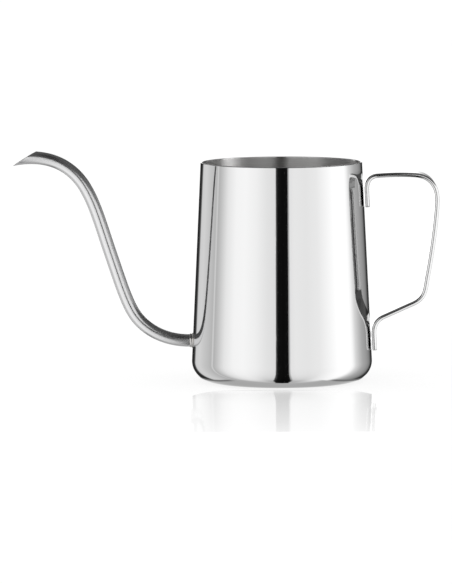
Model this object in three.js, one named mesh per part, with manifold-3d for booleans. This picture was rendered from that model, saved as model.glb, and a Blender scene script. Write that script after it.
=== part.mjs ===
// Open-topped gooseneck pouring kettle in polished stainless steel, about 0.6 litre.
// Millimetres, +Z up.  Origin: centre of the underside, on the axis of the body.
// The spout leaves towards -X, the handle stands on the +X side, both in the plane Y = 0.
import * as THREE from 'three';
import { mergeVertices } from 'three/addons/utils/BufferGeometryUtils.js';
import Module from 'manifold-3d';

// ---------------------------------------------------------------- driving dimensions
const BODY_HEIGHT = 109.6;        // underside to rim
const RIM_RADIUS = 40.4;          // outside of the wall at the rim
const FOOT_RADIUS = 45.65;        // wall line extended down to the underside
const CORNER_RADIUS = 10.0;       // drawn corner between wall and base, outside
const WALL = 0.8;                 // sheet thickness of the drawn body
const BODY_SEGMENTS = 72;

const SPOUT_OD = 6.4;             // outside diameter of the tube
const SPOUT_WALL = 0.5;           // wall of the tube
const SPOUT_ROOT_Z = 20.25;       // height of the joint on the body
const SPOUT_ROOT_X = -46.15;      // where the tube ends and the weld ring begins
const SPOUT_SIDES = 14;
const SPOUT_STEPS = 54;
const BEAK_TOP = [-122.55, 115.25];  // upper corner of the slanted mouth (x, z)
const BEAK_LIP = [-134.05, 108.10];  // tip of the lip (x, z)

const RING_THICKNESS = 0.75;      // weld ring, along the spout's axis at its thinnest
const RING_OUTER_RADIUS = 3.5;
const RING_FOOT_RADIUS = 4.0;     // where the ring flares onto the body

const STRIP_THICKNESS = 2.2;      // handle strip
const STRIP_WIDTH = 19.0;
const STRIP_EDGE = 0.5;           // eased long edges
const TAB_CORNER_RADIUS = 1.5;    // rounded corners of the tab ends
const UPPER_TAB_END_Z = 87.2;
const LOWER_TAB_END_Z = 15.5;

const SPOT_RADIUS = 1.5;          // spot welds that hold the tabs
const SPOT_HEIGHTS_UPPER = [90.1, 94.5];
const SPOT_HEIGHTS_LOWER = [18.4, 22.8];

const GAP = 0.3;                  // clearance kept between neighbouring solids

// ---------------------------------------------------------------- finishes
const mirrorSteel = { color: 0xd9dadb, metalness: 1.0, roughness: 0.06 };
const tubeSteel = { color: 0xd2d3d5, metalness: 1.0, roughness: 0.12 };
const satinSteel = { color: 0xc8c9cb, metalness: 1.0, roughness: 0.28 };
const weldSteel = { color: 0xb9b8b6, metalness: 1.0, roughness: 0.35 };

// ---------------------------------------------------------------- booleans
const wasm = await Module();
wasm.setup();

function positionsOnly(geometry) {
  const g = geometry.clone();
  for (const name of Object.keys(g.attributes)) if (name !== 'position') g.deleteAttribute(name);
  const m = mergeVertices(g, 1e-4);
  const src = m.index.array;
  const keep = [];
  for (let i = 0; i < src.length; i += 3) {
    const [a, b, c] = [src[i], src[i + 1], src[i + 2]];
    if (a !== b && b !== c && c !== a) keep.push(a, b, c);
  }
  const p = m.attributes.position.array;
  let volume = 0;
  for (let i = 0; i < keep.length; i += 3) {
    const [a, b, c] = [keep[i] * 3, keep[i + 1] * 3, keep[i + 2] * 3];
    volume += p[a] * (p[b + 1] * p[c + 2] - p[b + 2] * p[c + 1])
            - p[a + 1] * (p[b] * p[c + 2] - p[b + 2] * p[c])
            + p[a + 2] * (p[b] * p[c + 1] - p[b + 1] * p[c]);
  }
  if (volume < 0) for (let i = 0; i < keep.length; i += 3) [keep[i], keep[i + 1]] = [keep[i + 1], keep[i]];
  m.setIndex(keep);
  return m;
}

function toSolid(geometry) {
  const g = positionsOnly(geometry);
  return new wasm.Manifold(new wasm.Mesh({
    numProp: 3,
    vertProperties: new Float32Array(g.attributes.position.array),
    triVerts: new Uint32Array(g.index.array),
  }));
}

function toGeometry(solid) {
  const mesh = solid.getMesh();
  const g = new THREE.BufferGeometry();
  g.setAttribute('position', new THREE.BufferAttribute(new Float32Array(mesh.vertProperties), 3));
  g.setIndex(Array.from(mesh.triVerts));
  g.computeVertexNormals();
  return g;
}

function cylinderAlongX(radius, x0, x1, z, sides) {
  const g = new THREE.CylinderGeometry(radius, radius, x1 - x0, sides);
  g.rotateZ(Math.PI / 2);
  g.translate((x0 + x1) / 2, 0, z);
  return toSolid(g);
}

// ---------------------------------------------------------------- body
// Outside radius of the conical wall at a height.
const TAPER = (FOOT_RADIUS - RIM_RADIUS) / BODY_HEIGHT;
const wallRadius = (z) => FOOT_RADIUS - TAPER * z;

// Half profile (radius, height) of the cone with a rounded bottom corner, from the axis up to the top.
// Each inward offset keeps the wall parallel and the corner concentric.
function cupProfile(inset, floorZ, topZ, cornerSteps) {
  const secant = Math.sqrt(1 + TAPER * TAPER);
  const foot = FOOT_RADIUS - inset * secant;
  const rc = CORNER_RADIUS - inset;
  const zc = floorZ + rc;
  const centre = foot - TAPER * zc - rc * secant;
  const lean = Math.atan(TAPER);
  const pts = [[0, floorZ]];
  for (let i = 0; i <= cornerSteps; i++) {
    const a = -Math.PI / 2 + (Math.PI / 2 + lean) * (i / cornerSteps);
    pts.push([centre + rc * Math.cos(a), zc + rc * Math.sin(a)]);
  }
  pts.push([foot - TAPER * topZ, topZ]);
  return pts;
}

function lathe(profile, segments) {
  const g = new THREE.LatheGeometry(profile.map(([r, z]) => new THREE.Vector2(r, z)), segments);
  g.rotateX(Math.PI / 2);
  return g;
}

const outer = cupProfile(0, 0, BODY_HEIGHT, 8);
const inner = cupProfile(WALL, WALL, BODY_HEIGHT, 7).reverse();
const boreRadius = SPOUT_OD / 2 - SPOUT_WALL;
const bodySolid = toSolid(lathe([...outer, ...inner], BODY_SEGMENTS))
  .subtract(cylinderAlongX(boreRadius, -60, -30, SPOUT_ROOT_Z, 20));

// The body's outside grown by the clearance, used to trim what is welded onto it.
const bodyEnvelope = toSolid(lathe([...cupProfile(-GAP, -GAP, BODY_HEIGHT + 5, 8), [0, BODY_HEIGHT + 5]], BODY_SEGMENTS));

// ---------------------------------------------------------------- spout tube
const spoutCentreline = new THREE.CatmullRomCurve3([
  [SPOUT_ROOT_X, 20.25], [-50.81, 20.50], [-56.42, 21.59], [-61.48, 23.44], [-66.13, 26.05], [-70.39, 29.59],
  [-73.75, 33.75], [-76.39, 38.60], [-78.50, 43.66], [-80.33, 48.71], [-83.86, 59.12], [-87.26, 69.48],
  [-90.56, 79.63], [-92.31, 84.72], [-94.33, 89.96], [-96.65, 94.84], [-99.40, 99.45], [-102.85, 103.67],
  [-107.00, 107.15], [-111.93, 109.80], [-117.05, 111.45], [-122.34, 112.20], [-127.68, 112.15],
  [-133.30, 111.50], [-138.70, 110.45],
].map(([x, z]) => new THREE.Vector3(x, 0, z)), false, 'centripetal');

function tubeSection() {
  const s = new THREE.Shape();
  const hole = new THREE.Path();
  for (let i = 0; i <= SPOUT_SIDES; i++) {
    const a = (2 * Math.PI * i) / SPOUT_SIDES;
    const rOut = SPOUT_OD / 2;
    if (i === 0) s.moveTo(rOut, 0); else if (i < SPOUT_SIDES) s.lineTo(rOut * Math.cos(a), rOut * Math.sin(a));
    if (i === 0) hole.moveTo(boreRadius, 0);
    else if (i < SPOUT_SIDES) hole.lineTo(boreRadius * Math.cos(-a), boreRadius * Math.sin(-a));
  }
  s.closePath();
  hole.closePath();
  s.holes.push(hole);
  return s;
}

const tubeRaw = new THREE.ExtrudeGeometry(tubeSection(), {
  steps: SPOUT_STEPS, extrudePath: spoutCentreline, bevelEnabled: false, curveSegments: 1,
});

// Slanted mouth: everything beyond the line from the upper corner to the lip is cut away,
// in a barely crowned cut, so that the lower side of the tube ends in a fine beak.
const beak = new THREE.Shape();
const cutDir = new THREE.Vector2(BEAK_LIP[0] - BEAK_TOP[0], BEAK_LIP[1] - BEAK_TOP[1]).normalize();
const cutNormal = new THREE.Vector2(cutDir.y, -cutDir.x);            // points up and away from the tube
const along = (p, d, n) => [p[0] + cutDir.x * d + cutNormal.x * n, p[1] + cutDir.y * d + cutNormal.y * n];
const chord = Math.hypot(BEAK_LIP[0] - BEAK_TOP[0], BEAK_LIP[1] - BEAK_TOP[1]);
beak.moveTo(...along(BEAK_TOP, -3, -0.1));
beak.lineTo(...along(BEAK_TOP, 0, 0));
beak.lineTo(...along(BEAK_TOP, chord * 0.33, 0.13));
beak.lineTo(...along(BEAK_TOP, chord * 0.67, 0.13));
beak.lineTo(...along(BEAK_TOP, chord, 0));
beak.lineTo(BEAK_LIP[0], BEAK_LIP[1] - 10);
beak.lineTo(BEAK_LIP[0] - 15, BEAK_LIP[1] - 10);
beak.lineTo(BEAK_LIP[0] - 15, BEAK_LIP[1] + 40);
beak.lineTo(...along(BEAK_TOP, -3, 30));
beak.closePath();
const cutterGeometry = new THREE.ExtrudeGeometry(beak, { depth: 20, steps: 1, bevelEnabled: false });
cutterGeometry.rotateX(Math.PI / 2);
cutterGeometry.translate(0, 10, 0);
const tubeSolid = toSolid(tubeRaw).subtract(toSolid(cutterGeometry));

// ---------------------------------------------------------------- weld ring at the spout's root
const ringOuterX = SPOUT_ROOT_X + GAP;                      // face towards the tube
const ringProfile = [
  [boreRadius, -ringOuterX], [SPOUT_OD / 2 + 0.05, -ringOuterX], [RING_OUTER_RADIUS, -ringOuterX - 0.22],
  [RING_OUTER_RADIUS + 0.06, -ringOuterX - 0.5], [RING_FOOT_RADIUS, -ringOuterX - RING_THICKNESS],
  [RING_FOOT_RADIUS + 0.2, 43.6], [boreRadius, 43.6], [boreRadius, -ringOuterX],
];
const ringGeometry = new THREE.LatheGeometry(ringProfile.map(([r, a]) => new THREE.Vector2(r, a)), 24);
ringGeometry.rotateZ(Math.PI / 2);                          // the lathe's axis now points to -X
ringGeometry.translate(0, 0, SPOUT_ROOT_Z);
const ringSolid = toSolid(ringGeometry).subtract(bodyEnvelope);

// ---------------------------------------------------------------- handle strip
// Centreline of the strip in (x, z): tab, bend, top run, corner, upright, corner, lower run, bend, tab.
const tabOffset = GAP + STRIP_THICKNESS / 2;
const tabPoint = (z) => [wallRadius(z) + tabOffset, z];
const handlePath = new THREE.CurvePath();
const v2 = ([x, z]) => new THREE.Vector2(x, z);
const line = (a, b) => handlePath.add(new THREE.LineCurve(v2(a), v2(b)));
const bend = (a, b, c, d) => handlePath.add(new THREE.CubicBezierCurve(v2(a), v2(b), v2(c), v2(d)));
line(tabPoint(UPPER_TAB_END_Z), tabPoint(96.0));
bend(tabPoint(96.0), tabPoint(99.6), [43.60, 102.80], [47.68, 103.07]);
bend([47.68, 103.07], [53.72, 103.47], [59.46, 103.72], [66.25, 103.28]);
bend([66.25, 103.28], [74.21, 102.76], [78.02, 97.87], [77.52, 89.01]);
bend([77.52, 89.01], [76.94, 78.73], [74.91, 64.40], [72.89, 53.61]);
bend([72.89, 53.61], [71.36, 45.43], [71.91, 41.84], [65.05, 38.84]);
bend([65.05, 38.84], [59.26, 36.31], [56.46, 34.98], [50.67, 32.45]);
bend([50.67, 32.45], [46.70, 30.71], tabPoint(27.2), tabPoint(23.8));
line(tabPoint(23.8), tabPoint(LOWER_TAB_END_Z));
const bendSteps = [1, 8, 4, 12, 7, 11, 3, 8, 1];

const left = [];
const right = [];
handlePath.curves.forEach((curve, k) => {
  const n = bendSteps[k];
  for (let i = k === 0 ? 0 : 1; i <= n; i++) {
    const t = i / n;
    const p = curve.getPoint(t);
    const d = curve.getTangent(t);
    left.push([p.x - d.y * STRIP_THICKNESS / 2, p.y + d.x * STRIP_THICKNESS / 2]);
    right.push([p.x + d.y * STRIP_THICKNESS / 2, p.y - d.x * STRIP_THICKNESS / 2]);
  }
});
const outline = [...left, ...right.reverse()];
const stripShape = new THREE.Shape(outline.map(v2));
const stripGeometry = new THREE.ExtrudeGeometry(stripShape, {
  depth: STRIP_WIDTH - 2 * STRIP_EDGE, steps: 1,
  bevelEnabled: true, bevelSize: STRIP_EDGE, bevelThickness: STRIP_EDGE, bevelOffset: -STRIP_EDGE, bevelSegments: 2,
});
stripGeometry.rotateX(Math.PI / 2);
stripGeometry.translate(0, STRIP_WIDTH / 2 - STRIP_EDGE, 0);
let stripSolid = toSolid(stripGeometry);

// Rounded corners on the two tab ends.
function cornerCutter(endZ, side, up) {
  const r = TAB_CORNER_RADIUS;
  const y0 = STRIP_WIDTH / 2;
  const s = new THREE.Shape();
  s.moveTo(y0 + 1, endZ - up);
  s.lineTo(y0 + 1, endZ + up * r);
  s.lineTo(y0, endZ + up * r);
  for (let i = 1; i <= 6; i++) {
    const a = (Math.PI / 2) * (i / 6);
    s.lineTo(y0 - r + r * Math.cos(a), endZ + up * (r - r * Math.sin(a)));
  }
  s.lineTo(y0 - r, endZ - up);
  s.closePath();
  const g = new THREE.ExtrudeGeometry(s, { depth: 10, steps: 1, bevelEnabled: false });
  // shape (y, z) extruded along x
  g.applyMatrix4(new THREE.Matrix4().set(0, 0, 1, 40, side, 0, 0, 0, 0, 1, 0, 0, 0, 0, 0, 1));
  return toSolid(g);
}
for (const endZ of [UPPER_TAB_END_Z, LOWER_TAB_END_Z]) {
  for (const side of [1, -1]) stripSolid = stripSolid.subtract(cornerCutter(endZ, side, 1));
}

// Spot welds: fused plugs through the tabs, each a separate solid with the usual clearance round it.
const lean = Math.atan(TAPER);
function plug(radius, z, inside, outside, sides) {
  const g = new THREE.CylinderGeometry(radius, radius, outside - inside, sides);
  g.rotateZ(-Math.PI / 2);                                  // axis along +X
  g.translate((inside + outside) / 2, 0, 0);
  g.rotateY(-lean);                                         // square to the leaning wall
  g.translate(wallRadius(z), 0, z);
  return toSolid(g);
}
const spotSolids = {};
const spots = { upper: SPOT_HEIGHTS_UPPER, lower: SPOT_HEIGHTS_LOWER };
for (const [where, heights] of Object.entries(spots)) {
  heights.forEach((z, i) => {
    stripSolid = stripSolid.subtract(plug(SPOT_RADIUS + GAP, z, -1, 4, 16));
    spotSolids[`spot_weld_${where}_${i + 1}`] = plug(SPOT_RADIUS, z, GAP, GAP + STRIP_THICKNESS - 0.1, 16);
  });
}

// ---------------------------------------------------------------- scene graph
const kettle = new THREE.Group();
function addPart(name, solid, finish, parent = kettle) {
  const mesh = new THREE.Mesh(toGeometry(solid), new THREE.MeshStandardMaterial(finish));
  mesh.name = name;
  parent.add(mesh);
  return mesh;
}
addPart('body_shell', bodySolid, mirrorSteel);

const spout = new THREE.Group();
addPart('spout_tube', tubeSolid, tubeSteel, spout);
addPart('spout_weld_ring', ringSolid, weldSteel, spout);
kettle.add(spout);

const handle = new THREE.Group();
addPart('handle_strip', stripSolid, satinSteel, handle);
for (const [name, solid] of Object.entries(spotSolids)) addPart(name, solid, weldSteel, handle);
kettle.add(handle);

export default kettle;
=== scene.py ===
import math

import bmesh
import bpy
import numpy as np
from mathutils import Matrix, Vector


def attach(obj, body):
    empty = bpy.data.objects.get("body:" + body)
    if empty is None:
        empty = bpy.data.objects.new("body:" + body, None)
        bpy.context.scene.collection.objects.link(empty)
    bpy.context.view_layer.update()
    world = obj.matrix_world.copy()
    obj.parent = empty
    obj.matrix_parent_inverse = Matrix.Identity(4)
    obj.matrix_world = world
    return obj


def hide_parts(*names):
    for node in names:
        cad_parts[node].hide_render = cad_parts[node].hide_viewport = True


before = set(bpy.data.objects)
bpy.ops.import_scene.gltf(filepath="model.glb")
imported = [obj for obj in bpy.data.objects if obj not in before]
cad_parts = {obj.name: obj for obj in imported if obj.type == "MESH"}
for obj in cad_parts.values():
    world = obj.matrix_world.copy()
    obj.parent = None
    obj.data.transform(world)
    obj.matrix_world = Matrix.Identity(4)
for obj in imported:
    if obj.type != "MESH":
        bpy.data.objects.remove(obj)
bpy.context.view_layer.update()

MM = 0.001

# ------------------------------------------------------------------ sizes, in millimetres, as in the CAD model
HEIGHT = 109.6
RIM_R = 40.4
FOOT_R = 45.65
CORNER = 10.0
WALL = 0.8
TAPER = (FOOT_R - RIM_R) / HEIGHT
SEC = math.sqrt(1 + TAPER * TAPER)
LEAN = math.atan(TAPER)

TUBE_R = 3.2
BORE_R = 2.7
ROOT_X = -46.15
ROOT_Z = 20.25
MOUTH_TOP = (-122.55, 115.25)
MOUTH_LIP = (-134.05, 108.10)

STRIP_T = 2.2
STRIP_W = 19.0
TAB_CORNER = 1.5
GAP = 0.3
TAB_TOP_END = 87.2
TAB_LOW_END = 15.5
SPOTS = {"spot_weld_upper_1": 90.1, "spot_weld_upper_2": 94.5, "spot_weld_lower_1": 18.4, "spot_weld_lower_2": 22.8}


def wall_radius(z):
    return FOOT_R - TAPER * z


# ------------------------------------------------------------------ mesh helpers
def mesh_object(name, verts, faces, smooth=True):
    """A mesh object from millimetre points."""
    mesh = bpy.data.meshes.new(name)
    mesh.from_pydata([tuple(float(c) * MM for c in v) for v in verts], [], [list(map(int, f)) for f in faces])
    mesh.validate()
    mesh.update()
    obj = bpy.data.objects.new(name, mesh)
    bpy.context.scene.collection.objects.link(obj)
    if smooth:
        mesh.polygons.foreach_set("use_smooth", [True] * len(mesh.polygons))
    return obj


def outward(obj):
    bm = bmesh.new()
    bm.from_mesh(obj.data)
    bmesh.ops.remove_doubles(bm, verts=bm.verts, dist=1e-7)
    bmesh.ops.recalc_face_normals(bm, faces=bm.faces)
    bm.to_mesh(obj.data)
    bm.free()
    obj.data.update()
    return obj


def cut(obj, cutter):
    """Boolean difference, applied; the cutter is removed."""
    mod = obj.modifiers.new("cut", "BOOLEAN")
    mod.operation = "DIFFERENCE"
    mod.solver = "EXACT"
    mod.object = cutter
    bpy.context.view_layer.update()
    dg = bpy.context.evaluated_depsgraph_get()
    new = bpy.data.meshes.new_from_object(obj.evaluated_get(dg))
    obj.modifiers.clear()
    old = obj.data
    obj.data = new
    new.name = obj.name
    bpy.data.meshes.remove(old)
    dead = cutter.data
    bpy.data.objects.remove(cutter)
    bpy.data.meshes.remove(dead)
    return obj


def revolve(profile, segments, closed_axis=True):
    """Vertices and quads of a half profile [(r, z), ...] turned round Z. Points at r = 0 become one vertex."""
    verts, rows = [], []
    for r, z in profile:
        if abs(r) < 1e-9:
            rows.append([len(verts)] * segments)
            verts.append((0.0, 0.0, z))
        else:
            rows.append(list(range(len(verts), len(verts) + segments)))
            for k in range(segments):
                a = 2 * math.pi * k / segments
                verts.append((r * math.cos(a), r * math.sin(a), z))
    faces = []
    for i in range(len(rows) - 1):
        for k in range(segments):
            q = [rows[i][k], rows[i][(k + 1) % segments], rows[i + 1][(k + 1) % segments], rows[i + 1][k]]
            q = [v for n, v in enumerate(q) if v not in q[:n]]
            if len(q) > 2:
                faces.append(q)
    return verts, faces


def smoothstep(a, b, x):
    t = np.clip((x - a) / (b - a), 0, 1)
    return t * t * (3 - 2 * t)


# ------------------------------------------------------------------ body: a drawn cup with a rounded rim
def corner_centre(inset):
    """Centre radius and height of the rounded bottom corner for a surface offset inwards by inset."""
    rc = CORNER - inset
    zc = inset + rc
    return FOOT_R - inset * SEC - TAPER * zc - rc * SEC, zc, rc


def body_profile():
    pts = []
    oc, oz, orad = corner_centre(0.0)
    ic, iz, irad = corner_centre(WALL)
    pts += [(r, 0.0) for r in (0.0, 8.0, 16.0, 24.0, 30.0)]
    for i in range(37):
        a = -math.pi / 2 + (math.pi / 2 + LEAN) * i / 36
        pts.append((oc + orad * math.cos(a), oz + orad * math.sin(a)))
    rim_z = HEIGHT - WALL / 2
    rim_r = wall_radius(rim_z) - WALL / 2 * SEC
    z0 = pts[-1][1]
    z1 = rim_z + WALL / 2 * math.sin(LEAN)
    for i in range(1, 24):
        z = z0 + (z1 - z0) * i / 24
        pts.append((wall_radius(z), z))
    # rim: rounded over in a half circle
    for i in range(17):
        a = LEAN + math.pi * i / 16
        pts.append((rim_r + WALL / 2 * math.cos(a), rim_z + WALL / 2 * math.sin(a)))
    z0 = pts[-1][1]
    z1 = iz + irad * math.sin(LEAN)
    for i in range(1, 24):
        z = z0 + (z1 - z0) * i / 24
        pts.append((wall_radius(z) - WALL * SEC, z))
    for i in range(37):
        a = LEAN - (math.pi / 2 + LEAN) * i / 36
        pts.append((ic + irad * math.cos(a), iz + irad * math.sin(a)))
    pts += [(r, WALL) for r in (30.0, 24.0, 16.0, 8.0, 0.0)]
    return pts


def body_normal(x, y, z, nf):
    """Exact normal of the turned surface at a point, chosen to agree with the face it is on."""
    r = math.hypot(x, y)
    rim_z = HEIGHT - WALL / 2
    rim_r = wall_radius(rim_z) - WALL / 2 * SEC
    cx, cy = (x / r, y / r) if r > 1e-6 else (1.0, 0.0)
    options = []
    if z > rim_z + 0.02:
        dr, dz = r - rim_r, z - rim_z
        n = math.hypot(dr, dz)
        options.append((dr / n, dz / n))
    else:
        for inset, sign in ((0.0, 1.0), (WALL, -1.0)):
            c, zc, rc = corner_centre(inset)
            if r <= c and z < zc:
                nr, nz = 0.0, -1.0
            elif z < zc + rc * math.sin(LEAN):
                dr, dz = r - c, z - zc
                n = max(math.hypot(dr, dz), 1e-9)
                nr, nz = dr / n, dz / n
            else:
                nr, nz = math.cos(LEAN), math.sin(LEAN)
            options.append((nr * sign, nz * sign))
    best, score = nf, 0.6
    for nr, nz in options:
        v = Vector((cx * nr, cy * nr, nz))
        if v.dot(nf) > score:
            best, score = v, v.dot(nf)
    return best


SEGMENTS = 288
verts, faces = revolve(body_profile(), SEGMENTS)
body = outward(mesh_object("kettle_body", verts, faces))
bore = outward(mesh_object("bore_cutter", *(lambda n=72: (
    [(x, BORE_R * math.cos(2 * math.pi * k / n), ROOT_Z + BORE_R * math.sin(2 * math.pi * k / n)) for x in (-52.0, -36.0) for k in range(n)],
    [[k, (k + 1) % n, n + (k + 1) % n, n + k] for k in range(n)] + [list(range(n)), list(range(n, 2 * n))]))()))
cut(body, bore)

# surfaces of the body: 0 mirror outside, 1 brushed inside, 2 underside
me = body.data
me.polygons.foreach_set("use_smooth", [True] * len(me.polygons))
loop_normals = [None] * len(me.loops)
for p in me.polygons:
    c = p.center / MM
    r = math.hypot(c.x, c.y)
    nf = p.normal
    inward = nf.x * c.x + nf.y * c.y < 0
    inside_r = wall_radius(c.z) - WALL / 2 * SEC
    if c.z > HEIGHT - WALL * 0.5:
        p.material_index = 0
    elif r < inside_r - 0.05 and (inward or nf.z > 0) and c.z > WALL * 0.5:
        p.material_index = 1
    elif nf.z < -0.995:
        p.material_index = 2
    else:
        p.material_index = 0
    for li in p.loop_indices:
        v = me.vertices[me.loops[li].vertex_index].co / MM
        loop_normals[li] = body_normal(v.x, v.y, v.z, nf)
me.normals_split_custom_set(loop_normals)
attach(body, "root")
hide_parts("body_shell")

# ------------------------------------------------------------------ spout: a swept tube with a slanted mouth
KNOTS = np.array([0.0, 0.0, 0.0, 0.0, 10.0, 20.0, 30.0, 40.0, 55.0, 72.0, 84.0, 95.0, 106.0, 118.0, 130.0, 146.387, 146.387, 146.387, 146.387])
CONTROL = np.array([
    (-46.15, 20.25), (-49.431, 20.219), (-56.236, 21.049), (-65.427, 24.968), (-73.182, 31.736), (-78.272, 42.366),
    (-82.665, 55.597), (-87.342, 69.547), (-91.324, 82.264), (-95.314, 92.827), (-101.049, 102.844), (-110.482, 110.146),
    (-123.939, 113.2), (-133.359, 111.601), (-138.7, 110.452)])


def spline(u):
    """Point of the cubic B-spline at parameter u (de Boor)."""
    k = int(np.clip(np.searchsorted(KNOTS, u, side="right") - 1, 3, len(CONTROL) - 1))
    d = [CONTROL[j + k - 3].copy() for j in range(4)]
    for r in range(1, 4):
        for j in range(3, r - 1, -1):
            i = j + k - 3
            den = KNOTS[i + 4 - r] - KNOTS[i]
            a = (u - KNOTS[i]) / den
            d[j] = (1 - a) * d[j - 1] + a * d[j]
    return d[3]


def sweep_tube(name, radius_out, radius_in, rings=330, sides=80):
    us = np.linspace(0, KNOTS[-1] - 1e-6, rings)
    centre = np.array([spline(u) for u in us])
    tangent = np.gradient(centre, us, axis=0)
    tangent[0] = (-1, 0)
    tangent /= np.hypot(*tangent.T)[:, None]
    length = np.r_[0, np.cumsum(np.hypot(*np.diff(centre, axis=0).T))]
    pts, quads = [], []
    for radius in (radius_out, radius_in):
        for c, t in zip(centre, tangent):
            for k in range(sides):
                a = 2 * math.pi * k / sides
                # across the path: (-tz, tx) lies in the plane of the bends, Y across it
                off = radius * math.cos(a)
                pts.append((c[0] - t[1] * off, radius * math.sin(a), c[1] + t[0] * off))
    n = rings * sides
    for base in (0, n):
        for i in range(rings - 1):
            for k in range(sides):
                a, b = base + i * sides + k, base + i * sides + (k + 1) % sides
                quads.append([a, b, b + sides, a + sides] if base == 0 else [a, a + sides, b + sides, b])
    for i in (0, rings - 1):
        for k in range(sides):
            a, b = i * sides + k, i * sides + (k + 1) % sides
            quads.append([a, a + n, b + n, b] if i == 0 else [a, b, b + n, a + n])
    obj = mesh_object(name, pts, quads)
    uv = obj.data.uv_layers.new(name="along")
    for p in obj.data.polygons:
        idx = [obj.data.loops[li].vertex_index for li in p.loop_indices]
        ks = [v % sides for v in idx]
        wrap = max(ks) - min(ks) > sides / 2
        for li, v, k in zip(p.loop_indices, idx, ks):
            kk = k + sides if wrap and k < sides / 2 else k
            uv.data[li].uv = (length[(v % n) // sides] * MM, kk / sides)
    return outward(obj)


def prism(name, outline, half_width):
    """Closed prism of an outline in (x, z), from -half_width to half_width in y."""
    n = len(outline)
    pts = [(x, s * half_width, z) for s in (-1, 1) for x, z in outline]
    quads = [[k, (k + 1) % n, n + (k + 1) % n, n + k] for k in range(n)] + [list(range(n)), list(range(n, 2 * n))]
    return outward(mesh_object(name, pts, quads, smooth=False))


spout = sweep_tube("gooseneck_spout", TUBE_R, BORE_R)
top, lip = np.array(MOUTH_TOP), np.array(MOUTH_LIP)
chord = np.hypot(*(lip - top))
direction = (lip - top) / chord
normal = np.array([direction[1], -direction[0]])
edge = [top + direction * d + normal * n for d, n in ((-3.0, -0.1), (0.0, 0.0))]
edge += [top + direction * chord * s + normal * 0.145 * 4 * s * (1 - s) for s in np.linspace(0.08, 1.0, 12)]
outline = [tuple(e) for e in edge] + [(lip[0], lip[1] - 10), (lip[0] - 15, lip[1] - 10), (lip[0] - 15, lip[1] + 40), tuple(top - direction * 3 + normal * 30)]
cut(spout, prism("mouth_cutter", outline, 10.0))


def soften_cut_edges(obj, centre, reach, offset, min_angle=35):
    """Tiny bevel along the sharp edges near a point, in metres."""
    bm = bmesh.new()
    bm.from_mesh(obj.data)
    bmesh.ops.remove_doubles(bm, verts=bm.verts, dist=4e-6)
    bmesh.ops.dissolve_degenerate(bm, edges=bm.edges, dist=2e-6)
    sharp = []
    for e in bm.edges:
        if len(e.link_faces) == 2 and (e.verts[0].co - centre).length < reach:
            if e.calc_face_angle(0) > math.radians(min_angle):
                sharp.append(e)
    bmesh.ops.bevel(bm, geom=sharp, offset=offset, offset_type="OFFSET", segments=2, profile=0.5, affect="EDGES", clamp_overlap=True)
    bm.to_mesh(obj.data)
    bm.free()
    obj.data.update()


soften_cut_edges(spout, Vector((-0.128, 0, 0.112)), 0.012, 0.00009)
spout.data.polygons.foreach_set("use_smooth", [True] * len(spout.data.polygons))
spout.data.set_sharp_from_angle(angle=math.radians(32))
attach(spout, "root")
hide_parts("spout_tube")


# ------------------------------------------------------------------ weld bead between the tube and the wall
def weld_bead(name, sides=120):
    x0 = ROOT_X + 0.02
    profile = [(0.0, 3.19), (0.05, 3.27), (0.14, 3.38), (0.26, 3.46), (0.38, 3.49), (0.5, 3.46), (0.6, 3.42), (0.7, 3.42),
               (0.8, 3.48), (0.88, 3.58), (0.94, 3.72), (0.98, 3.86), (1.0, 3.97)]
    pts, rows = [], []
    for f, r in profile:
        row = []
        for k in range(sides):
            a = 2 * math.pi * k / sides
            ripple = 0.012 * math.sin(17 * a) + 0.008 * math.sin(29 * a + 1.0)
            rr = r + (ripple if 0.1 < f < 0.7 else 0.0)
            y, z = rr * math.cos(a), ROOT_Z + rr * math.sin(a)
            xs = -math.sqrt(wall_radius(z) ** 2 - y * y) - 0.015
            row.append(len(pts))
            pts.append((x0 + (xs - x0) * f, y, z))
        rows.append(row)
    for at_wall in (True, False):
        row = []
        for k in range(sides):
            a = 2 * math.pi * k / sides
            y, z = BORE_R * math.cos(a), ROOT_Z + BORE_R * math.sin(a)
            xs = -math.sqrt(wall_radius(z) ** 2 - y * y) - 0.015
            row.append(len(pts))
            pts.append((xs if at_wall else x0, y, z))
        rows.append(row)
    quads = []
    for i in range(len(rows)):
        a, b = rows[i], rows[(i + 1) % len(rows)]
        for k in range(sides):
            quads.append([a[k], a[(k + 1) % sides], b[(k + 1) % sides], b[k]])
    obj = outward(mesh_object(name, pts, quads))
    obj.data.set_sharp_from_angle(angle=math.radians(50))
    return obj


ring = weld_bead("spout_weld_bead")
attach(ring, "root")
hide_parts("spout_weld_ring")


# ------------------------------------------------------------------ handle: a bent strip with rounded edges
def tab_point(z):
    return (wall_radius(z) + GAP + STRIP_T / 2, z)


def bezier(a, b, c, d, t):
    t = np.asarray(t)[:, None]
    a, b, c, d = map(np.array, (a, b, c, d))
    p = (1 - t) ** 3 * a + 3 * (1 - t) ** 2 * t * b + 3 * (1 - t) * t * t * c + t ** 3 * d
    return p


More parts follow.
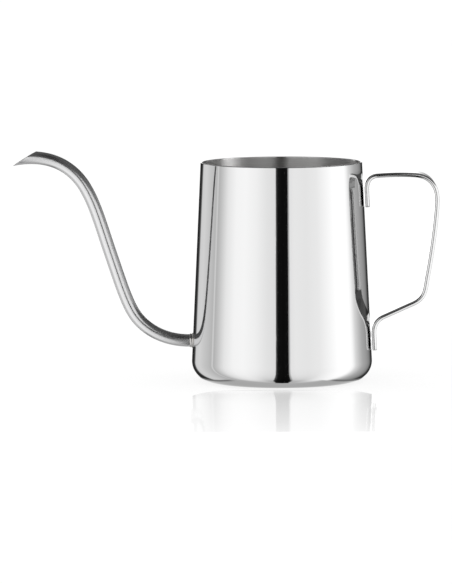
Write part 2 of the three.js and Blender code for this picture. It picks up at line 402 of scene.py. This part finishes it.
PATH = [
    (tab_point(TAB_TOP_END), None, None, tab_point(96.0)),
    (tab_point(96.0), tab_point(99.6), (43.60, 102.80), (47.68, 103.07)),
    ((47.68, 103.07), (53.72, 103.47), (59.46, 103.72), (66.25, 103.28)),
    ((66.25, 103.28), (74.21, 102.76), (78.02, 97.87), (77.52, 89.01)),
    ((77.52, 89.01), (76.94, 78.73), (74.91, 64.40), (72.89, 53.61)),
    ((72.89, 53.61), (71.36, 45.43), (71.91, 41.84), (65.05, 38.84)),
    ((65.05, 38.84), (59.26, 36.31), (56.46, 34.98), (50.67, 32.45)),
    ((50.67, 32.45), (46.70, 30.71), tab_point(27.2), tab_point(23.8)),
    (tab_point(23.8), None, None, tab_point(TAB_LOW_END)),
]
dense = []
for a, b, c, d in PATH:
    t = np.linspace(0, 1, 400)
    if b is None:
        seg = np.array(a) + (np.array(d) - np.array(a)) * t[:, None]
    else:
        seg = bezier(a, b, c, d, t)
    dense.append(seg if not dense else seg[1:])
dense = np.vstack(dense)
arc = np.r_[0, np.cumsum(np.hypot(*np.diff(dense, axis=0).T))]
LENGTH = arc[-1]


def strip_ring(s, inset, half, rho, across=76, turn=12):
    """Closed section of the strip in (n, y): thickness along n, width along y. inset shrinks it, for the rounded ends."""
    t = STRIP_T / 2
    cn, cy, r = t - rho, half - rho, max(rho - inset, 0.0)
    ring_pts = []
    for i in range(across + 1):
        ring_pts.append((cn + r, -cy + 2 * cy * i / across))
    for i in range(1, turn):
        a = math.pi / 2 * i / turn
        ring_pts.append((cn + r * math.cos(a), cy + r * math.sin(a)))
    for i in range(turn + 1):
        a = math.pi / 2 + math.pi / 2 * i / turn
        ring_pts.append((-cn + r * math.cos(a), cy + r * math.sin(a)))
    for i in range(1, across + 1):
        ring_pts.append((-cn - r, cy - 2 * cy * i / across))
    for i in range(1, turn):
        a = math.pi + math.pi / 2 * i / turn
        ring_pts.append((-cn + r * math.cos(a), -cy + r * math.sin(a)))
    for i in range(turn):
        a = 3 * math.pi / 2 + math.pi / 2 * i / turn
        ring_pts.append((cn + r * math.cos(a), -cy + r * math.sin(a)))
    return ring_pts


def build_handle(name):
    rho, end_rho = 1.04, 0.75
    stations = []
    e = 0.0
    for i in range(13):                                       # the rounded end
        stations.append(end_rho * (1 - math.cos(math.pi / 2 * i / 12)))
    stations += list(np.arange(end_rho + 0.2, 11.0, 0.22))
    mid = list(np.linspace(11.0, LENGTH - 11.0, 330))
    stations = stations + mid[1:-1] + [LENGTH - s for s in reversed(stations)]
    stations = np.array(sorted(set(np.round(stations, 5))))
    cx = np.interp(stations, arc, dense[:, 0])
    cz = np.interp(stations, arc, dense[:, 1])
    h = 0.02
    tx = np.interp(np.clip(stations + h, 0, LENGTH), arc, dense[:, 0]) - np.interp(np.clip(stations - h, 0, LENGTH), arc, dense[:, 0])
    tz = np.interp(np.clip(stations + h, 0, LENGTH), arc, dense[:, 1]) - np.interp(np.clip(stations - h, 0, LENGTH), arc, dense[:, 1])
    ln = np.hypot(tx, tz)
    tx, tz = tx / ln, tz / ln
    # smooth the direction a little along the bends so that the polished faces flow
    k = np.hanning(9)
    k /= k.sum()
    pad = lambda a: np.convolve(np.r_[[a[0]] * 4, a, [a[-1]] * 4], k, mode="valid")
    tx, tz = pad(tx), pad(tz)
    ln = np.hypot(tx, tz)
    tx, tz = tx / ln, tz / ln
    pts, quads, n_ring = [], [], None
    spots = np.array([(tab_point(z)[0], z) for z in SPOTS.values()])
    for s, x, z, dx, dz in zip(stations, cx, cz, tx, tz):
        end = min(s, LENGTH - s)
        inset = 0.0 if end >= end_rho else end_rho - math.sqrt(max(end_rho ** 2 - (end_rho - end) ** 2, 0))
        half = STRIP_W / 2
        if end < TAB_CORNER:
            half = STRIP_W / 2 - TAB_CORNER + math.sqrt(max(TAB_CORNER ** 2 - (TAB_CORNER - end) ** 2, 0))
            half = max(half, STRIP_W / 2 - TAB_CORNER) + inset * 0.0
        section = strip_ring(s, inset, half, rho)
        n_ring = len(section)
        near_tab = s < 12 or s > LENGTH - 12
        for n, y in section:
            if near_tab and n < -STRIP_T / 2 + 0.25:          # outer face of the tab: the marks of the spot welds
                d = np.sqrt(((np.array((x, z)) - spots) ** 2).sum(1) + y * y).min()
                n += 0.26 * float(1 - smoothstep(1.32, 1.78, d)) - 0.025 * float(smoothstep(1.7, 1.95, d) * (1 - smoothstep(1.95, 2.5, d)))
            pts.append((x - dz * n, y, z + dx * n))
    rows = len(stations)
    for i in range(rows - 1):
        for j in range(n_ring):
            a, b = i * n_ring + j, i * n_ring + (j + 1) % n_ring
            quads.append([a, b, b + n_ring, a + n_ring])
    quads.append(list(range(n_ring)))
    quads.append(list(range((rows - 1) * n_ring, rows * n_ring)))
    obj = mesh_object(name, pts, quads)
    uv = obj.data.uv_layers.new(name="along")
    for p in obj.data.polygons:
        for li in p.loop_indices:
            v = obj.data.loops[li].vertex_index
            uv.data[li].uv = (stations[v // n_ring] * MM, pts[v][1] * MM)
    outward(obj)
    obj.data.set_sharp_from_angle(angle=math.radians(45))
    return obj


handle = build_handle("handle_strip_polished")
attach(handle, "root")
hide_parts("handle_strip")


# ------------------------------------------------------------------ spot welds: dished nuggets in their marks
def nugget(name, z):
    c = tab_point(z)
    n = (math.cos(LEAN), math.sin(LEAN))
    u = (-math.sin(LEAN), math.cos(LEAN))
    base = STRIP_T / 2 - 0.26 + 0.012
    prof = [(0.0, 0.10), (0.3, 0.098), (0.6, 0.092), (0.85, 0.092), (1.02, 0.105), (1.13, 0.115), (1.2, 0.105), (1.26, 0.07), (1.29, 0.03), (1.3, 0.0), (0.0, 0.0)]
    sides = 64
    verts, faces = revolve(prof, sides)
    out = []
    for x, y, h in verts:
        wob = 1 + 0.02 * math.sin(3 * math.atan2(y, x) + z)
        x, y = x * wob, y * wob
        px = c[0] + n[0] * (base + h) + u[0] * x
        pz = c[1] + n[1] * (base + h) + u[1] * x
        out.append((px, y, pz))
    obj = outward(mesh_object(name, out, faces))
    obj.data.set_sharp_from_angle(angle=math.radians(60))
    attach(obj, "root")
    return obj


nuggets = {}
for cad_name, z in SPOTS.items():
    piece = nugget(cad_name.replace("spot_weld", "spot_weld_mark"), z)
    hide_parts(cad_name)
    nuggets[cad_name] = piece


# ------------------------------------------------------------------ materials
class Nodes:
    """Short forms for building a node material."""

    def __init__(self, name):
        self.mat = bpy.data.materials.new(name)
        self.mat.use_nodes = True
        self.tree = self.mat.node_tree
        self.tree.nodes.clear()
        self.out = self.add("ShaderNodeOutputMaterial")

    def add(self, kind, **values):
        node = self.tree.nodes.new(kind)
        for key, value in values.items():
            if key.startswith("in_"):
                name = key[3:]
                socket = node.inputs[int(name)] if name.isdigit() else node.inputs[name.replace("_", " ")]
                if isinstance(value, bpy.types.NodeSocket):
                    self.tree.links.new(value, socket)
                else:
                    socket.default_value = value
            else:
                setattr(node, key, value)
        return node

    def link(self, a, b):
        self.tree.links.new(a, b)

    def math(self, op, a, b=None, clamp=False):
        node = self.add("ShaderNodeMath", operation=op, use_clamp=clamp)
        for i, v in enumerate((a, b)):
            if v is None:
                continue
            if isinstance(v, bpy.types.NodeSocket):
                self.link(v, node.inputs[i])
            else:
                node.inputs[i].default_value = v
        return node.outputs[0]

    def ramp(self, value, stops):
        node = self.add("ShaderNodeValToRGB")
        el = node.color_ramp.elements
        while len(el) > 1:
            el.remove(el[-1])
        el[0].position, el[0].color = stops[0][0], (*[stops[0][1]] * 3, 1)
        for p, v in stops[1:]:
            e = el.new(p)
            e.color = (v, v, v, 1)
        self.link(value, node.inputs[0])
        return node.outputs[0]

    def noise(self, vector, scale=1.0, detail=3.0, rough=0.5):
        node = self.add("ShaderNodeTexNoise")
        self.link(vector, node.inputs["Vector"])
        node.inputs["Scale"].default_value = scale
        node.inputs["Detail"].default_value = detail
        node.inputs["Roughness"].default_value = rough
        return node.outputs[0]

    def combine(self, x, y, z):
        node = self.add("ShaderNodeCombineXYZ")
        for i, v in enumerate((x, y, z)):
            if isinstance(v, bpy.types.NodeSocket):
                self.link(v, node.inputs[i])
            else:
                node.inputs[i].default_value = v
        return node.outputs[0]

    def object_xyz(self):
        coord = self.add("ShaderNodeTexCoord")
        sep = self.add("ShaderNodeSeparateXYZ")
        self.link(coord.outputs["Object"], sep.inputs[0])
        return coord.outputs["Object"], sep.outputs[0], sep.outputs[1], sep.outputs[2]

    def uv(self, name):
        node = self.add("ShaderNodeUVMap", uv_map=name)
        sep = self.add("ShaderNodeSeparateXYZ")
        self.link(node.outputs[0], sep.inputs[0])
        return sep.outputs[0], sep.outputs[1]

    def bump(self, height, strength, distance, normal=None):
        node = self.add("ShaderNodeBump")
        node.inputs["Strength"].default_value = strength
        node.inputs["Distance"].default_value = distance
        self.link(height, node.inputs["Height"])
        if normal is not None:
            self.link(normal, node.inputs["Normal"])
        return node.outputs[0]

    def mix_colour(self, factor, a, b):
        node = self.add("ShaderNodeMix", data_type="RGBA")
        for socket, v in ((node.inputs[0], factor), (node.inputs[6], a), (node.inputs[7], b)):
            if isinstance(v, bpy.types.NodeSocket):
                self.link(v, socket)
            else:
                socket.default_value = v
        return node.outputs[2]

    def steel(self, colour, roughness, normal=None, anisotropic=0.0, tangent=None, rotation=0.0):
        node = self.add("ShaderNodeBsdfPrincipled")
        node.inputs["Metallic"].default_value = 1.0
        for socket, v in ((node.inputs["Base Color"], colour), (node.inputs["Roughness"], roughness)):
            if isinstance(v, bpy.types.NodeSocket):
                self.link(v, socket)
            else:
                socket.default_value = v
        node.inputs["Anisotropic"].default_value = anisotropic
        node.inputs["Anisotropic Rotation"].default_value = rotation
        if normal is not None:
            self.link(normal, node.inputs["Normal"])
        if tangent is not None:
            self.link(tangent, node.inputs["Tangent"])
        self.link(node.outputs[0], self.out.inputs[0])
        return node


def mirror_steel():
    """Polished outside of the body: near mirror, with faint polishing lines up the wall, hairline scratches and slight unevenness."""
    n = Nodes("mirror_polished_steel")
    obj, x, y, z = n.object_xyz()
    around = n.math("ARCTAN2", y, x)
    streak = n.noise(n.combine(n.math("MULTIPLY", around, 160.0), n.math("MULTIPLY", z, 9.0), 0.0), 1.0, 4.0, 0.6)
    fine = n.noise(n.combine(n.math("MULTIPLY", around, 900.0), n.math("MULTIPLY", z, 60.0), 3.0), 1.0, 2.0, 0.5)
    cloud = n.noise(obj, 38.0, 3.0, 0.55)
    hair = n.add("ShaderNodeTexNoise")
    n.link(n.combine(n.math("MULTIPLY", x, 900.0), n.math("MULTIPLY", y, 900.0), n.math("MULTIPLY", z, 60.0)), hair.inputs["Vector"])
    hair.inputs["Scale"].default_value = 1.0
    hair.inputs["Detail"].default_value = 1.0
    scratches = n.ramp(hair.outputs[0], [(0.0, 0.0), (0.66, 0.0), (0.70, 1.0), (0.72, 0.0), (1.0, 0.0)])
    rough = n.math("ADD", n.math("MULTIPLY", streak, 0.030), n.math("MULTIPLY", cloud, 0.020))
    rough = n.math("ADD", rough, 0.012)
    rough = n.math("ADD", rough, n.math("MULTIPLY", scratches, 0.05), clamp=True)
    b1 = n.bump(streak, 0.05, 0.00004)
    b2 = n.bump(fine, 0.03, 0.00001, b1)
    b3 = n.bump(scratches, 0.06, 0.00001, b2)
    tone = n.mix_colour(n.math("MULTIPLY", cloud, 0.35), (0.652, 0.652, 0.652, 1), (0.619, 0.621, 0.626, 1))
    n.steel(tone, rough, b3)
    return n.mat


def brushed_inside():
    """Inside of the cup: circular brushing, seen as fine level lines, with soft light and dark patches."""
    n = Nodes("circular_brushed_steel")
    obj, x, y, z = n.object_xyz()
    around = n.math("ARCTAN2", y, x)
    radius = n.math("SQRT", n.math("ADD", n.math("MULTIPLY", x, x), n.math("MULTIPLY", y, y)))
    level = n.math("ADD", z, n.math("MULTIPLY", radius, -1.0))
    lines = n.noise(n.combine(n.math("MULTIPLY", around, 2.2), 0.0, n.math("MULTIPLY", level, 2600.0)), 1.0, 4.0, 0.65)
    fine = n.noise(n.combine(n.math("MULTIPLY", around, 6.0), 5.0, n.math("MULTIPLY", level, 9000.0)), 1.0, 2.0, 0.6)
    cloud = n.noise(obj, 30.0, 3.0, 0.5)
    rough = n.math("ADD", n.math("MULTIPLY", lines, 0.20), n.math("MULTIPLY", cloud, 0.08))
    rough = n.math("ADD", rough, 0.17, clamp=True)
    b1 = n.bump(lines, 0.35, 0.00005)
    b2 = n.bump(fine, 0.25, 0.00002, b1)
    tone = n.mix_colour(lines, (0.48, 0.475, 0.47, 1), (0.76, 0.755, 0.75, 1))
    tangent = n.add("ShaderNodeTangent", direction_type="RADIAL", axis="Z")
    n.steel(tone, rough, b2, anisotropic=1.0, tangent=tangent.outputs[0], rotation=0.25)
    return n.mat


def turned_underside():
    """Underside: a satin face with fine concentric lines and rub marks where it stands."""
    n = Nodes("satin_underside_steel")
    obj, x, y, z = n.object_xyz()
    radius = n.math("SQRT", n.math("ADD", n.math("MULTIPLY", x, x), n.math("MULTIPLY", y, y)))
    around = n.math("ARCTAN2", y, x)
    lines = n.noise(n.combine(n.math("MULTIPLY", radius, 5200.0), n.math("MULTIPLY", around, 1.5), 0.0), 1.0, 3.0, 0.6)
    marks = n.noise(obj, 160.0, 5.0, 0.7)
    rough = n.math("ADD", n.math("MULTIPLY", lines, 0.2), n.math("MULTIPLY", marks, 0.16), clamp=True)
    rough = n.math("ADD", rough, 0.1, clamp=True)
    b = n.bump(lines, 0.3, 0.00004)
    tone = n.mix_colour(marks, (0.475, 0.472, 0.468, 1), (0.590, 0.587, 0.583, 1))
    tangent = n.add("ShaderNodeTangent", direction_type="RADIAL", axis="Z")
    n.steel(tone, rough, b, anisotropic=0.6, tangent=tangent.outputs[0])
    return n.mat


def drawn_tube():
    """Polished tube: fine lines along its length and slight unevenness round it from the bending."""
    n = Nodes("polished_tube_steel")
    obj, x, y, z = n.object_xyz()
    u, v = n.uv("along")
    lines = n.noise(n.combine(n.math("MULTIPLY", u, 55.0), n.math("MULTIPLY", v, 95.0), 0.0), 1.0, 4.0, 0.6)
    fine = n.noise(n.combine(n.math("MULTIPLY", u, 420.0), n.math("MULTIPLY", v, 420.0), 2.0), 1.0, 2.0, 0.5)
    wave = n.noise(obj, 90.0, 2.0, 0.5)
    rough = n.math("ADD", n.math("MULTIPLY", lines, 0.10), n.math("MULTIPLY", wave, 0.04))
    rough = n.math("ADD", rough, 0.15, clamp=True)
    b1 = n.bump(lines, 0.03, 0.00004)
    b2 = n.bump(fine, 0.015, 0.00001, b1)
    tone = n.mix_colour(lines, (0.576, 0.576, 0.580, 1), (0.648, 0.648, 0.652, 1))
    n.steel(tone, rough, b2)
    return n.mat


def strip_steel():
    """Polished strip: long grain along the strip, softer on the rounded edges."""
    n = Nodes("polished_strip_steel")
    obj, x, y, z = n.object_xyz()
    u, v = n.uv("along")
    grain = n.noise(n.combine(n.math("MULTIPLY", u, 40.0), n.math("MULTIPLY", v, 5200.0), 0.0), 1.0, 4.0, 0.6)
    fine = n.noise(n.combine(n.math("MULTIPLY", u, 300.0), n.math("MULTIPLY", v, 16000.0), 4.0), 1.0, 2.0, 0.5)
    wave = n.noise(obj, 70.0, 3.0, 0.5)
    rough = n.math("ADD", n.math("MULTIPLY", grain, 0.03), n.math("MULTIPLY", wave, 0.02))
    rough = n.math("ADD", rough, 0.075, clamp=True)
    b1 = n.bump(grain, 0.012, 0.00003)
    b2 = n.bump(fine, 0.006, 0.00001, b1)
    tone = n.mix_colour(grain, (0.655, 0.655, 0.655, 1), (0.713, 0.713, 0.713, 1))
    n.steel(tone, rough, b2)
    return n.mat


def weld_steel(name, tint, grain):
    """Dressed weld metal: a little rougher than the sheet, with a trace of heat colour."""
    n = Nodes(name)
    obj, x, y, z = n.object_xyz()
    spots = n.noise(obj, 900.0, 4.0, 0.65)
    cloud = n.noise(obj, 220.0, 3.0, 0.5)
    rough = n.math("ADD", n.math("MULTIPLY", spots, grain), n.math("MULTIPLY", cloud, 0.08))
    rough = n.math("ADD", rough, 0.10, clamp=True)
    b = n.bump(spots, 0.22, 0.00004)
    tone = n.mix_colour(n.math("MULTIPLY", cloud, tint), (0.562, 0.562, 0.562, 1), (0.432, 0.360, 0.274, 1))
    n.steel(tone, rough, b)
    return n.mat


mirror, inside, under = mirror_steel(), brushed_inside(), turned_underside()
for m in (mirror, inside, under):
    body.data.materials.append(m)
spout.data.materials.append(drawn_tube())
handle.data.materials.append(strip_steel())
ring.data.materials.append(weld_steel("dressed_weld_steel", 0.35, 0.16))
nugget_steel = weld_steel("spot_weld_steel", 0.8, 0.28)
for piece in nuggets.values():
    piece.data.materials.append(nugget_steel)


# ------------------------------------------------------------------ floor
def stage_object(name, verts, faces):
    obj = mesh_object(name, verts, faces)
    return obj


floor = stage_object("floor", [(-6000, -6000, -0.25), (6000, -6000, -0.25), (6000, 6000, -0.25), (-6000, 6000, -0.25)], [(0, 1, 2, 3)])
fm = Nodes("white_acrylic_table")
_, fx, fy, fz = fm.object_xyz()
# a gloss close in front of the kettle that dies away
ahead = fm.math("MULTIPLY", fy, -1.0)
gloss = fm.ramp(fm.math("MULTIPLY", ahead, 4.0), [(0.0, 1.0), (0.16, 1.0), (0.24, 0.875), (0.404, 0.71), (0.55, 0.58), (0.692, 0.48), (0.832, 0.31), (0.846, 0.0), (1.0, 0.0)])
start = fm.math("ADD", fm.math("MULTIPLY", fm.math("POWER", fm.math("MULTIPLY", fm.math("ABSOLUTE", fx), 1 / 0.044), 6.0), 0.022), 0.0395)
begun = fm.math("MULTIPLY", fm.math("SUBTRACT", ahead, start), 1 / 0.003, clamp=True)
gloss = fm.math("MULTIPLY", gloss, begun)
# none of it under the spout, where the sheet is matt
beside = fm.math("MULTIPLY", fm.math("ADD", fx, 0.0440), -1 / 0.0012, clamp=True)
near = fm.math("MULTIPLY", fm.math("ADD", fx, 0.0330), -0.6 / 0.008, clamp=True)
far = fm.math("MULTIPLY", fm.math("SUBTRACT", ahead, 0.050), 1 / 0.030, clamp=True)
gloss = fm.math("MULTIPLY", gloss, fm.math("SUBTRACT", 1.0, beside))
gloss = fm.math("MULTIPLY", gloss, fm.math("SUBTRACT", 1.0, fm.math("MULTIPLY", fm.math("MINIMUM", near, 0.6), far)))
# the polished sheet is very slightly dished towards the kettle's foot
rise = fm.math("DIVIDE", fm.math("ADD", fm.math("MULTIPLY", fm.math("SUBTRACT", ahead, 0.0298), 0.112), 0.00025), fm.math("MAXIMUM", fm.math("SUBTRACT", ahead, 0.0435), 0.0045))
tilt = fm.math("MAXIMUM", fm.math("MULTIPLY", fm.math("SUBTRACT", fm.math("MINIMUM", rise, 0.5), 0.112), -0.5), -0.16)
dished = fm.add("ShaderNodeVectorMath", operation="NORMALIZE")
fm.link(fm.combine(0.0, tilt, 1.0), dished.inputs[0])
sheet = fm.add("ShaderNodeBsdfPrincipled")
for name, v in (("Base Color", (0.22, 0.22, 0.22, 1)), ("Roughness", 1.0), ("Specular IOR Level", 0.0), ("Emission Color", (1, 1, 1, 1)), ("Emission Strength", 0.80),
                ("Coat Roughness", 0.03), ("Coat IOR", 1.45)):
    sheet.inputs[name].default_value = v
fm.link(gloss, sheet.inputs["Coat Weight"])
fm.link(dished.outputs[0], sheet.inputs["Coat Normal"])
fm.link(sheet.outputs[0], fm.out.inputs[0])
fm.mat.cycles.emission_sampling = "NONE"
floor.data.materials.append(fm.mat)
floor.visible_glossy = False


# ------------------------------------------------------------------ light tent: soft cards round the kettle, seen only in its reflections
def mirror_angle(px, py):
    """Angle round the body, in degrees, whose mirror image of a viewer at (-27.87, -2490) is the point (px, py), in millimetres."""
    th = np.arctan2(px, -py) / 2
    for _ in range(40):
        sx, sy = 44.0 * np.sin(th), -44.0 * np.cos(th)
        view = np.arctan2(-27.87 - sx, 2490.0 + sy)
        to = np.arctan2(px - sx, -(py - sy))
        th = (view + to) / 2
    return np.degrees(th)


CARD = np.array([
    (-90, 0.9), (-86.5, 0.9), (-85, 0.015), (-77, 0.02), (-74.5, 0.10), (-72.5, 0.62), (-66, 0.68), (-55, 0.56), (-51.5, 0.50), (-51, 0.66), (-50, 0.66), (-49.4, 0.48),
    (-46, 0.60), (-40, 0.86), (-33, 1.00), (-26, 1.02), (-18, 0.96), (-10, 0.84), (-5, 0.80), (-4.36, 0.79), (-4.28, 0.075), (-3.5, 0.04), (-2.9, 0.008),
    (0, 0.004), (3.6, 0.006), (3.68, 0.36), (4.3, 0.44), (4.8, 0.84), (8, 0.88), (16, 0.86), (24, 0.90), (30, 1.00), (37, 1.12), (42, 1.18), (47, 1.18),
    (50.5, 1.04), (54, 0.74), (58, 0.56), (62, 0.42), (67, 0.34), (73, 0.22), (76, 0.10), (78, 0.03), (85, 0.02), (86.5, 0.9), (90, 0.9)])


def card_light(theta):
    return np.interp(theta, CARD[:, 0], CARD[:, 1])


def light_object(name, verts, faces, values):
    obj = stage_object(name, verts, faces)
    layer = obj.data.color_attributes.new("light", "FLOAT_COLOR", "POINT")
    rgba = np.ones((len(values), 4), np.float32)
    rgba[:, :3] = np.asarray(values, np.float32)[:, None]
    layer.data.foreach_set("color", rgba.ravel())
    n = Nodes(name + "_glow")
    colour = n.add("ShaderNodeVertexColor", layer_name="light")
    glow = n.add("ShaderNodeEmission")
    n.link(colour.outputs[0], glow.inputs[0])
    glow.inputs[1].default_value = 1.0
    n.link(glow.outputs[0], n.out.inputs[0])
    n.mat.cycles.emission_sampling = "NONE"
    obj.data.materials.append(n.mat)
    obj.visible_camera = False
    obj.visible_diffuse = False
    obj.visible_shadow = False
    obj.visible_transmission = False
    obj.visible_volume_scatter = False
    return obj


TENT = 660.0
LEVEL = 1.39                  # how much brighter the cards are than they look in the steel, which takes in over a quarter of the light
AZIMUTHS = np.radians(np.unique(np.round(np.r_[
    np.arange(-180, 180, 1.0), np.arange(-14, 14, 0.1), np.arange(-106, -94, 0.2), np.arange(-176, -140, 0.5), np.arange(140, 176, 0.5)], 3)))
SLOT = (-91.5, 89.3)          # the dark slot towards the camera, between the two front cards


def round_grid(rows):
    """Quads of a closed strip of rows of points, one per azimuth."""
    n = len(AZIMUTHS)
    return [[i * n + k, i * n + (k + 1) % n, (i + 1) * n + (k + 1) % n, (i + 1) * n + k] for i in range(rows - 1) for k in range(n)]


def tent_dome():
    els = np.radians(np.unique(np.r_[-90, -89.5, np.arange(-89, 90, 1.0), np.arange(-30, 50, 0.5), 89.5, 90]))
    verts = [(TENT * math.cos(el) * math.sin(az), -TENT * math.cos(el) * math.cos(az), TENT * math.sin(el)) for el in els for az in AZIMUTHS]
    v = np.array(verts)
    x, y, z = v.T
    azd = np.degrees(np.arctan2(x, -y))
    # near the front the edges of the cards run straight up and down; to the sides they follow the azimuth
    edge = np.degrees(np.arcsin(np.clip(x / TENT, -1, 1)))
    w = smoothstep(20, 60, np.abs(azd))
    azd = edge * (1 - w) + azd * w
    azr = np.radians(azd)
    card = card_light(mirror_angle(TENT * np.sin(azr), -TENT * np.cos(azr)))
    # direction as seen from the foot of the kettle
    d = v - np.array((0.0, -30.0, 4.0))
    d /= np.linalg.norm(d, axis=1)[:, None]
    down = np.degrees(np.arcsin(d[:, 2]))
    # painted shade: the tent is dimmed towards straight below the foot, standing in for the shade on the floor close
    # round and under the kettle
    card = card * np.interp(down, [-90, -80, -70, -61, -52, -42, -30, 0], [0.50, 0.52, 0.64, 0.80, 0.87, 0.92, 0.96, 1.0])
    # front half: the side cards reach 300 mm up with a dark grey ceiling above them
    low = 1 - smoothstep(286, 318, z)
    value = card * low + 0.095 * (1 - low)
    # rear half: white backdrop straight behind, dark flags beside it, soft light above
    behind = smoothstep(20, 160, y)
    high = smoothstep(320, 380, z)
    straight = smoothstep(-80, -60, x) * (1 - smoothstep(95, 112, x)) * (z > -60) * (1 - smoothstep(300, 350, z))
    rear = card * (1 - high) + 0.095 * high
    rear = rear * (1 - straight) + np.interp(z, [-60, 0, 100, 150, 300], [1.10, 1.10, 1.06, 0.93, 0.90]) * straight
    value = value * (1 - behind) + rear * behind
    # below and behind: painted shade of the floor under the kettle, a grey patch with a darker painted shadow line
    # along each of its edges
    deep = np.maximum(-d[:, 2], 1e-3)
    px, py = d[:, 0] / deep, d[:, 1] / deep
    floor_shade = (1 - smoothstep(0.60, 0.66, np.abs(px))) * smoothstep(-0.15, 0.15, py) * (d[:, 2] < -0.10)
    value = value * (1 - floor_shade) + np.interp(py, [0, 0.3, 1, 2, 3.5, 7], [0.45, 0.42, 0.40, 0.47, 0.60, 0.68]) * floor_shade
    # painted shadow: a dark line along each side edge of the painted shade under the kettle
    shadow_line = smoothstep(0.60, 0.66, np.abs(px)) * (1 - smoothstep(0.74, 0.84, np.abs(px))) * smoothstep(0.1, 0.5, py) * (d[:, 2] < -0.10)
    value = value * (1 - shadow_line) + 0.17 * shadow_line
    # the slot to the camera is dark all the way from overhead to straight below
    narrow = np.interp(down, [-86, -66, -46, -24, 0], [0.62, 0.78, 0.92, 1.0, 1.0])
    left, right = SLOT[0] * narrow, SLOT[1] * narrow
    slot = smoothstep(-1, 0, x - left) * (1 - smoothstep(0, 1, x - right)) * (y < -22)
    dark = np.interp(z, [100, 160], [0.005, 0.035])
    value = value * (1 - slot) + np.minimum(value, np.maximum(np.interp(x - left, [0, 14, 28], [0.075, 0.04, 0.005]), dark)) * slot
    return light_object("light_tent", verts, round_grid(len(els)), value * LEVEL)


tent_dome()


MOUTH_LIGHT = np.array([
    (-180, 0.35), (-144, 0.35), (-115, 0.50), (-100, 0.85), (-88, 1.20), (-64, 1.45), (-42, 1.05), (-20, 1.05), (-13, 1.00), (-11, 0.0), (11, 0.0), (13, 1.05),
    (24, 1.10), (46, 1.15), (60, 0.80), (74, 0.65), (94, 0.80), (105, 1.60), (123, 3.40), (135, 3.90), (145, 3.20), (154, 0.90), (162, 0.40), (180, 0.35)])


def mouth_ring():
    """Light just over the mouth, seen only by the inside of the cup: dark in front, brighter to the sides."""
    azimuths = np.radians(np.arange(-180, 180, 1.5))
    n = len(azimuths)
    verts = [(37.0 * math.sin(a), -37.0 * math.cos(a), z) for z in (111.0, 152.0) for a in azimuths]
    quads = [[k, n + k, n + (k + 1) % n, (k + 1) % n] for k in range(n)]
    value = np.interp(np.degrees(azimuths), MOUTH_LIGHT[:, 0], MOUTH_LIGHT[:, 1])
    obj = light_object("mouth_light", verts, quads, np.r_[value, value])
    tree = obj.data.materials[0].node_tree
    out = next(node for node in tree.nodes if node.type == "OUTPUT_MATERIAL")
    glow = out.inputs[0].links[0].from_node
    side = tree.nodes.new("ShaderNodeNewGeometry")
    dim = tree.nodes.new("ShaderNodeEmission")
    dim.inputs[1].default_value = 0.22
    mix = tree.nodes.new("ShaderNodeMixShader")
    tree.links.new(side.outputs["Backfacing"], mix.inputs[0])
    tree.links.new(glow.outputs[0], mix.inputs[1])
    tree.links.new(dim.outputs[0], mix.inputs[2])
    tree.links.new(mix.outputs[0], out.inputs[0])
    return obj


mouth_ring()

# ------------------------------------------------------------------ world: white, lights the floor and stands as the backdrop
world = bpy.data.worlds.new("studio_white")
bpy.context.scene.world = world
world.use_nodes = True
world.node_tree.nodes["Background"].inputs[0].default_value = (1, 1, 1, 1)
world.node_tree.nodes["Background"].inputs[1].default_value = 1.06

scene = bpy.context.scene
scene.view_settings.view_transform = "Standard"
scene.view_settings.look = "None"
scene.view_settings.exposure = 0.0
scene.view_settings.gamma = 1.0
scene.cycles.max_bounces = 10
scene.cycles.glossy_bounces = 10
scene.cycles.sample_clamp_indirect = 4.0

# ------------------------------------------------------------------ camera
cam_data = bpy.data.cameras.new("camera")
cam = bpy.data.objects.new("camera", cam_data)
bpy.context.scene.collection.objects.link(cam)
cam.location = (-0.02787, -2.490, 0.28159)
cam.rotation_mode = "QUATERNION"
pitch = math.radians(5.4399)
forward = Vector((0, math.cos(pitch), -math.sin(pitch)))
quat = forward.to_track_quat("-Z", "Y")
from mathutils import Quaternion
cam.rotation_quaternion = Quaternion(forward, math.radians(0.248)) @ quat
cam_data.sensor_fit = "AUTO"
cam_data.sensor_width = 36.0
cam_data.lens = 4997.0 / 584.0 * 36.0
cam_data.clip_start, cam_data.clip_end = 0.05, 50.0
cam_data.dof.use_dof = False
bpy.context.scene.camera = cam
